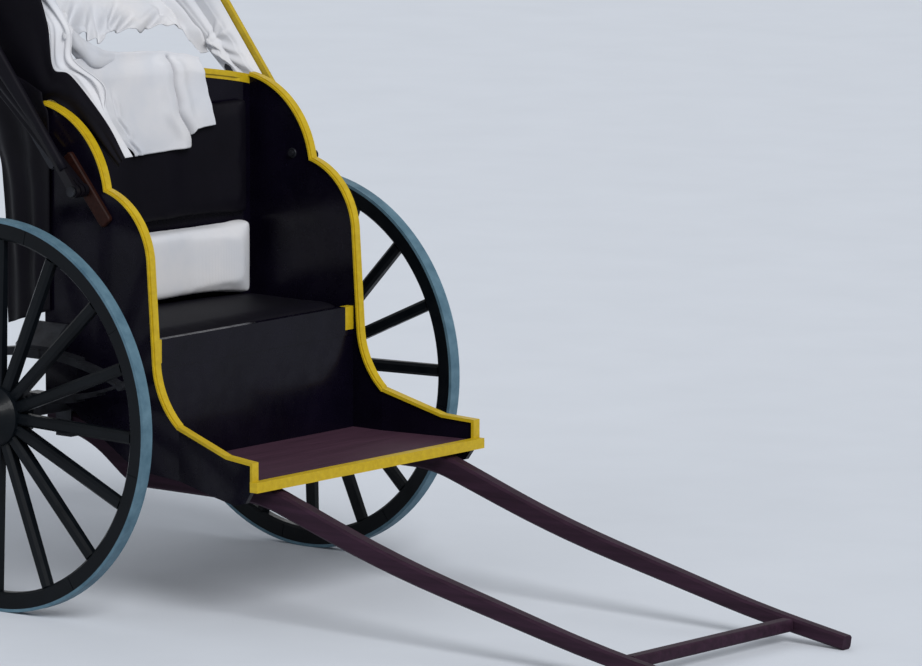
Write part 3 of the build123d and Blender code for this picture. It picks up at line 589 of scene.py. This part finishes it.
# Start and end of each fold in the curtain, its width and depth
FOLDS = [
    ((0.040, 0.470), (0.125, 0.600), 0.011, 0.016),
    ((0.005, 0.480), (0.110, 0.595), 0.010, 0.013),
    ((0.091, 0.500), (0.214, 0.600), 0.008, 0.011),
    ((0.126, 0.497), (0.236, 0.548), 0.009, 0.014),
    ((0.221, 0.484), (0.370, 0.556), 0.010, 0.014),
    ((0.395, 0.430), (0.380, 0.640), 0.012, 0.016),
    ((0.402, 0.415), (0.330, 0.580), 0.011, 0.014),
    ((-0.045, 0.515), (0.080, 0.620), 0.012, 0.016),
    ((-0.048, 0.515), (-0.070, 0.640), 0.013, 0.016),
    ((-0.060, 0.512), (-0.200, 0.640), 0.014, 0.014),
    ((-0.330, 0.490), (-0.250, 0.650), 0.016, 0.014),
    ((-0.390, 0.480), (-0.370, 0.650), 0.014, 0.012),
]


def curtain_place(s, t):
    """Point of the curtain at share s of the way across and share t of the way down."""
    y = -CURTAIN_HALF + 2 * CURTAIN_HALF * s
    in_corner = max(abs(y) - CORNER_FROM, 0.0)
    top = CURTAIN_REACH - CURTAIN_CORNER + math.sqrt(max(CURTAIN_CORNER**2 - in_corner**2, 0.0))
    r = top + (table_at(HEM, y) - top) * t
    depth = CURTAIN_UNEVEN * ripple(y * 5, r * 5, 1.5)
    for start, end, wide, deep in FOLDS:
        depth -= crease((y, r), start, end, wide, deep) * FOLD_GAIN * (2 - t)
    held = ease(t, 0.0, 0.25)
    return bow_point(REAR_LEAN, y, r, max(min(depth * held, MOST_BEFORE), -MOST_BEHIND))


drawn_curtain, area = sheet_piece(
    "drawn_curtain", steps(260), steps(60), curtain_place, "white_cloth", HOOD_CLOTH
)
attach(drawn_curtain, "cart")
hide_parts("hood_curtain")

# End of the curtain that falls forward inside the body's right side, and the black cloth beside it
FALL_LOW = [
    (-0.395, -0.366, 1.515), (-0.290, -0.366, 1.528), (-0.150, -0.366, 1.520), (-0.0416, -0.366, 1.473),
    (-0.0257, -0.366, 1.360), (0.0356, -0.366, 1.340), (0.1533, -0.366, 1.236), (0.2201, -0.366, 1.148),
]
FALL_HIGH = [
    (-0.365, -0.345, 1.600), (-0.240, -0.345, 1.600), (-0.090, -0.345, 1.570), (0.0130, -0.345, 1.462),
    (0.0237, -0.345, 1.385), (0.1285, -0.345, 1.324), (0.1385, -0.345, 1.248), (0.2230, -0.347, 1.149),
]
BLACK_HIGH = [
    (-0.385, -0.374, 1.590), (-0.230, -0.374, 1.585), (-0.090, -0.374, 1.572), (-0.0345, -0.374, 1.474),
    (-0.0149, -0.374, 1.359), (0.0462, -0.374, 1.343), (0.1639, -0.374, 1.236), (0.2273, -0.374, 1.150),
]
BLACK_LOW = [
    (-0.480, -0.380, 1.500), (-0.390, -0.380, 1.440), (-0.290, -0.380, 1.385), (-0.190, -0.380, 1.327),
    (-0.085, -0.380, 1.262), (-0.010, -0.380, 1.277), (0.0900, -0.379, 1.218), (0.2034, -0.376, 1.122),
]
# Tail of the black cloth behind the body's right corner
TAIL_FRONT = [
    (-0.018, -0.4135, 1.300), (-0.012, -0.4140, 1.272), (0.004, -0.4140, 1.245), (0.006, -0.4135, 1.150),
    (0.006, -0.4135, 1.060), (0.004, -0.4135, 0.930), (0.004, -0.4135, 0.745),
]
TAIL_REAR = [
    (-0.350, -0.372, 1.430), (-0.310, -0.366, 1.340), (-0.270, -0.362, 1.240), (-0.235, -0.360, 1.160),
    (-0.210, -0.360, 1.080), (-0.195, -0.360, 0.925), (-0.188, -0.360, 0.690),
]
# Folds across a strip and how far they slant, the share of it that its first edge holds, and its unevenness
STRIP_FOLDS, STRIP_SLANT, STRIP_HELD = 2.2, 0.3, 0.35
STRIP_UNEVEN = 0.006


def strip_piece(name, first, second, slot, swell, folds, seed):
    """Hanging strip of cloth between two edges, with soft folds along it."""

    def place(w, t):
        p = along(first, t).lerp(along(second, t), w)
        loose = ease(w, 0.0, STRIP_HELD)
        side = swell * math.sin(math.pi * w)
        side += folds * math.sin(2 * math.pi * (STRIP_FOLDS * w + STRIP_SLANT * t)) * loose
        side += STRIP_UNEVEN * ripple(w * 3, t * 7, seed) * loose
        return at(p.x, p.y + side, p.z)

    piece, area = sheet_piece(name, steps(28), steps(150), place, slot, HOOD_CLOTH)
    edge = [along(first, t) for t in steps(40)]
    length = sum((b - a).length for a, b in zip(edge, edge[1:]))
    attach(piece, "cart")


strip_piece("falling_curtain_end", FALL_LOW, FALL_HIGH, "white_cloth", swell=0.008, folds=0.004, seed=2.0)
strip_piece("falling_hood_side", BLACK_HIGH, BLACK_LOW, "hood_black", swell=-0.002, folds=0.001, seed=5.0)
strip_piece("hood_tail", TAIL_FRONT, TAIL_REAR, "hood_black", swell=-0.006, folds=0.007, seed=8.0)

# White cloth over the crest: top and lower edge of its front, in y and z
FLAP_TOP = [
    (-0.300, 1.372), (-0.225, 1.371), (-0.150, 1.371), (-0.085, 1.368), (0.000, 1.363), (0.0807, 1.357),
    (0.150, 1.345), (0.2046, 1.3325),
]
FLAP_HEM = [
    (-0.0545, 1.100), (0.068, 1.100), (0.1411, 1.1036), (0.1579, 1.123), (0.1713, 1.1505), (0.2349, 1.1557)
]
# Share of the way across, and y there at the top and at the hem: right edge, fold and left edge
TOP_ACROSS = [(0.0, -0.300), (0.72, 0.098), (1.0, 0.2046)]
HEM_ACROSS = [(0.0, -0.0545), (0.72, 0.155), (1.0, 0.2349)]
# How those three run down: y at the hem, then share of the height and share of the way from top to hem
FLAP_WAYS = [
    (-0.0545, [(0.0, 0.0), (0.25, 0.42), (0.5, 0.50), (0.75, 0.66), (1.0, 1.0)]),
    (0.155, [(0.0, 0.0), (0.25, 0.09), (0.5, 0.22), (0.75, 0.50), (1.0, 1.0)]),
    (0.2349, [(0.0, 0.0), (0.25, 0.25), (0.5, 0.5), (0.75, 0.75), (1.0, 1.0)]),
]
# Height and y of its deep fold and of a soft one
FOLD_LINE = [(1.12, 0.158), (1.207, 0.118), (1.281, 0.105), (1.345, 0.098)]
SOFT_LINE = [(1.100, -0.036), (1.152, -0.080), (1.214, -0.122), (1.296, -0.140)]
# The deep fold's groove, the ridges beside it and its lap: distance from its line, width and height
FOLD_WAVES = [(0.0, 0.0080, -0.030), (-0.030, 0.020, 0.012), (0.028, 0.018, 0.008)]
FOLD_LAP = (-0.013, 0.009, 0.011)
# The soft fold's ridge and the groove in it: width and height
SOFT_WAVES = [(0.020, 0.008), (0.007, -0.010)]
# The back board's outer radius and its middle, the crest's top, its fall to the sides and its half width
BACK_RADIUS = 1.0183
BACK_MIDDLE = -0.104
CREST_TOP, CREST_FALL, CREST_HALF = 1.316, 0.052, 0.405
# The cloth's hem behind, its distance behind and before the board, and how much lower than the crest it is
HEM_BEHIND = 1.195
FLAP_BEHIND, FLAP_BEFORE = 0.0125, 0.050
FLAP_SUNK = 0.004
FLAP_UNEVEN = 0.004
# How much fuller its front is below the top and towards the hem
FULLER_TOP, FULLER_HEM = 0.012, 0.010
# The least that it stands before the board, and how much more than that at the hem
LEAST_BEFORE, LEAST_MORE = 0.034, 0.022
# Share of the cloth that lies behind and over the crest, and share of that behind
OVER = 0.3
BEHIND = 0.45


def back_x(y):
    """Back of the body's back board at y, forward of the axle."""
    return BACK_MIDDLE + BACK_RADIUS - math.sqrt(BACK_RADIUS**2 - y * y)


def flap_front(s, down):
    """Place in y and z on the drape's front, share s of the way across and down."""
    top_y = line_at(TOP_ACROSS, s)
    low_y = line_at(HEM_ACROSS, s)
    right, fold, left = FLAP_WAYS
    (y0, first), (y1, second) = (right, fold) if low_y < fold[0] else (fold, left)
    f = (low_y - y0) / (y1 - y0)
    way = table_at(first, down) * (1 - f) + table_at(second, down) * f
    z = table_at(FLAP_TOP, top_y) * (1 - down) + line_at(FLAP_HEM, low_y) * down
    return top_y + (low_y - top_y) * way, z


def flap_over(y, over):
    """Point at y of the drape, from its hem behind (over = 0) to the top of its front (over = 1)."""
    crest = CREST_TOP - CREST_FALL * (y / CREST_HALF) ** 2
    puff = table_at(FLAP_TOP, y) - crest
    x = back_x(y) - FLAP_BEHIND
    if over < BEHIND:
        z = HEM_BEHIND + (crest - FLAP_SUNK - HEM_BEHIND) * over / BEHIND
        return at(x - FLAP_UNEVEN * (1 - over) * (1 + ripple(y * 9, z * 9, 4.4)), y, z)
    turn = (over - BEHIND) / (1 - BEHIND) * math.pi / 2
    lift = math.sin(turn) ** 0.7
    x += (FLAP_BEHIND + FLAP_BEFORE) * (1 - math.cos(turn))
    return at(x, y, crest - FLAP_SUNK + (puff + FLAP_SUNK) * lift)


def flap_place(s, t):
    """Point of the drape, from the hem behind the crest (t = 0) over it and down the front (t = 1)."""
    if t < OVER:
        return flap_over(flap_front(s, 0.0)[0], t / OVER)
    down = (t - OVER) / (1 - OVER)
    y, z = flap_front(s, down)
    deep = ease(down, 0.02, 0.14)
    out = FLAP_BEFORE + FULLER_TOP * ease(down, 0.0, 0.25) + FULLER_HEM * ease(down, 0.3, 0.9)
    fold = y - table_at(FOLD_LINE, z)
    for shift, width, height in FOLD_WAVES:
        out += height * deep * mound(fold - shift, width)
    shift, width, height = FOLD_LAP
    lap = height * deep * mound(fold - shift, width)
    soft = y - table_at(SOFT_LINE, z)
    for width, height in SOFT_WAVES:
        out += height * mound(soft, width) * ease(down, 0.30, 0.5)
    out += FLAP_UNEVEN * ripple(y * 8, z * 8, 3.3) * deep
    least = LEAST_BEFORE + LEAST_MORE * ease(down, 0.4, 0.7)
    return at(back_x(y) + max(out, least), y + lap, z)


crest_drape, area = sheet_piece(
    "crest_drape", steps(190), steps(110), flap_place, "white_cloth", CREST_CLOTH
)
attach(crest_drape, "cart")
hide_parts("crest_cloth")

# Rolled end of the drape, up to where the falling end is knotted
ROLL = [
    (-0.080, -0.045, 1.350), (-0.058, -0.100, 1.356), (-0.040, -0.180, 1.362), (-0.030, -0.240, 1.385),
    (-0.012, -0.300, 1.420), (0.004, -0.340, 1.452),
]
ROLL_RADIUS, ROLL_SWELL, ROLL_TAPER = 0.003, 0.020, 0.006
# How wide and how tall the roll is to its radius, and its lobes' number, turn along it and height
ROLL_WIDE, ROLL_TALL = 0.75, 1.15
LOBES, LOBE_TURN, LOBE_HEIGHT = 3, 5, 0.16
ROLL_UNEVEN = 0.25
ROLL_STEPS = 40
ROLL_SIDES = 24
# Share of its length, each way, over which its direction is taken
ROLL_LOOK = 0.02


def roll_place(a, t):
    """Point of the roll's skin at share a of the way round it and share t of the way along it."""
    p = along(ROLL, t)
    ahead = (along(ROLL, min(t + ROLL_LOOK, 1)) - along(ROLL, max(t - ROLL_LOOK, 0))).normalized()
    out = ahead.cross(Vector((0.0, 0.0, 1.0))).normalized()
    upward = out.cross(ahead).normalized()
    turn = 2 * math.pi * a
    cos, sin = math.cos(turn), math.sin(turn)
    radius = ROLL_RADIUS + ROLL_SWELL * ease(t, -0.25, 0.6) - ROLL_TAPER * ease(t, 0.7, 1.0)
    lobe = LOBE_HEIGHT * math.sin(LOBES * turn + LOBE_TURN * t)
    radius *= 1 + lobe + ROLL_UNEVEN * ripple(cos * 1.3, sin * 1.3, t * 5)
    return at(*(p + out * (cos * radius * ROLL_WIDE) + upward * (sin * radius * ROLL_TALL)))


def roll_piece():
    """The roll, closed round its length and at both ends."""
    points = [roll_place(a, t) for t in steps(ROLL_STEPS) for a in steps(ROLL_SIDES)[:-1]]
    faces = grid_faces(ROLL_STEPS + 1, ROLL_SIDES, closed=True)
    faces.append(tuple(range(ROLL_SIDES - 1, -1, -1)))
    faces.append(tuple(range(ROLL_STEPS * ROLL_SIDES, (ROLL_STEPS + 1) * ROLL_SIDES)))
    obj = add_object("drape_roll", new_mesh("drape_roll", points, faces), "white_cloth")
    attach(obj, "cart")


roll_piece()

# Cushions, each remeshed from its solid and swelled by cloth pressure
SIM_FRAMES = 20
PRESSURE = 4.0


def shrink(mesh, inset):
    """Draw the mesh in towards its middle by the inset along each axis."""
    bm = bmesh.new()
    bm.from_mesh(mesh)
    centre = sum((v.co for v in bm.verts), Vector()) / len(bm.verts)
    for v in bm.verts:
        for axis in range(3):
            gap = v.co[axis] - centre[axis]
            v.co[axis] -= math.copysign(min(inset, abs(gap)), gap)
    bm.to_mesh(mesh)
    bm.free()


def smooth(obj, times):
    """Even the object's mesh out, so many times over."""
    modifier = obj.modifiers.new("smooth", "SMOOTH")
    modifier.factor = 0.5
    modifier.iterations = times
    apply_modifiers(obj)


def puff_up(obj, cap):
    """Blow the object up as cloth, with no point moved further than the cap."""
    start = [v.co.copy() for v in obj.data.vertices]
    sim = obj.modifiers.new("cloth", "CLOTH")
    sim.settings.use_pressure = True
    sim.settings.uniform_pressure_force = PRESSURE
    sim.settings.effector_weights.gravity = 0.0
    sim.settings.quality = 5
    sim.settings.mass = 0.3
    sim.collision_settings.use_collision = False
    for step in range(1, SIM_FRAMES + 1):
        scene.frame_set(step)
    apply_modifiers(obj)
    scene.frame_set(1)
    for v, was in zip(obj.data.vertices, start):
        move = v.co - was
        if move.length > cap:
            v.co = was + move * (cap / move.length)


def cushion(name, node, slot, voxel, inset, cap):
    """Soft piece in the place of a solid of the frame."""
    mesh = NODES[node].data.copy()
    mesh.materials.clear()
    shrink(mesh, inset)
    obj = add_object(name, mesh, slot)
    remesh = obj.modifiers.new("remesh", "REMESH")
    remesh.mode = "VOXEL"
    remesh.voxel_size = voxel
    apply_modifiers(obj)
    smooth(obj, times=10)
    puff_up(obj, cap)
    smooth(obj, times=8)
    refine = obj.modifiers.new("refine", "SUBSURF")
    refine.levels = 1
    apply_modifiers(obj)
    obj.data.polygons.foreach_set("use_smooth", [True] * len(obj.data.polygons))
    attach(obj, "cart")
    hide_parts(node)


cushion("seat_pad", "seat_cushion", "seat_black", voxel=0.0075, inset=0.006, cap=0.010)
cushion("white_back_cushion", "back_cushion", "white_cloth", voxel=0.0060, inset=0.006, cap=0.010)
cushion("upper_back_pad", "back_pad", "seat_black", voxel=0.0070, inset=0.004, cap=0.006)

# Bolt heads inside the panels, where the hood's pins come through: radius and depth of washer and bolt
BOLT_PARTS = [(0.0135, 0.003), (0.0085, 0.010)]
BOLT_TAPER = 0.9
BOLT_SIDES = 24
# The panels' inner face, and the bolts' place from the pivot
PANEL_INSIDE = 0.389
BOLT_BACK, BOLT_UP = 0.004, 0.012

for side, sign in (("right", -1), ("left", 1)):
    bm = bmesh.new()
    for radius, deep in BOLT_PARTS:
        made = bmesh.ops.create_cone(
            bm, cap_ends=True, segments=BOLT_SIDES, radius1=radius, radius2=radius * BOLT_TAPER, depth=deep
        )
        for v in made["verts"]:
            x, y, z = v.co
            v.co = PIVOT + Vector((x - BOLT_BACK, sign * (PANEL_INSIDE - deep / 2 - z), y + BOLT_UP))
    bmesh.ops.recalc_face_normals(bm, faces=bm.faces)
    mesh = bpy.data.meshes.new(f"pin_end_{side}")
    bm.to_mesh(mesh)
    bm.free()
    bolt = add_object(f"pin_end_{side}", mesh, "iron")
    mesh.polygons.foreach_set("use_smooth", [False] * len(mesh.polygons))
    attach(bolt, "cart")

# Floor
FLOOR_HALF = 60
corners = [(x * FLOOR_HALF, y * FLOOR_HALF, 0) for x, y in ((-1, -1), (1, -1), (1, 1), (-1, 1))]
floor = bpy.data.objects.new("floor", new_mesh("floor", corners, [(0, 1, 2, 3)]))
scene.collection.objects.link(floor)
m = Nodes("floor_plain")
grain = m.ramp(m.noise(scale=3.0, detail=5.0), [(0.3, lin(204, 209, 217)), (0.7, lin(207, 212, 220))])
floor.data.materials.append(m.finish(grain, rough=0.95, specular=0.1))

# Light: name, place that it shines from towards the middle, power and softness in degrees
LIGHTS = [
    ("key", (5.4, -2.7, 4.6), 2.35, 28),
    ("fill", (-1.0, -6.0, 3.0), 0.35, 40),
    ("rim", (-5.0, 4.0, 4.5), 0.35, 40),
]
world = bpy.data.worlds.new("studio")
scene.world = world
world.use_nodes = True
background = world.node_tree.nodes["Background"]
background.inputs["Color"].default_value = (0.90, 0.93, 0.97, 1)
background.inputs["Strength"].default_value = 0.45

for name, place, power, spread in LIGHTS:
    data = bpy.data.lights.new(name, "SUN")
    data.energy = power
    data.angle = math.radians(spread)
    light = bpy.data.objects.new(name, data)
    scene.collection.objects.link(light)
    light.location = place
    light.rotation_euler = (-Vector(place)).to_track_quat("-Z", "Y").to_euler()

# Camera: degrees round from the cart's right towards its front, degrees up, and width of view at the target
AZIMUTH = 39.5
ELEVATION = 8.7
LENS = 320.0
SENSOR = 36.0
FRAME_WIDTH = 2.30
TARGET = at(1.013, 0.0, 0.737)
az = math.radians(AZIMUTH)
el = math.radians(ELEVATION)
away = Vector((math.sin(az) * math.cos(el), -math.cos(az) * math.cos(el), math.sin(el)))
camera_data = bpy.data.cameras.new("camera")
camera_data.sensor_width = SENSOR
camera_data.lens = LENS
camera_data.clip_end = 200.0
camera = bpy.data.objects.new("camera", camera_data)
scene.collection.objects.link(camera)
camera.location = TARGET + away * (LENS / SENSOR * FRAME_WIDTH)
camera.rotation_euler = (-away).to_track_quat("-Z", "Y").to_euler()
scene.camera = camera

scene.view_settings.view_transform = "Standard"
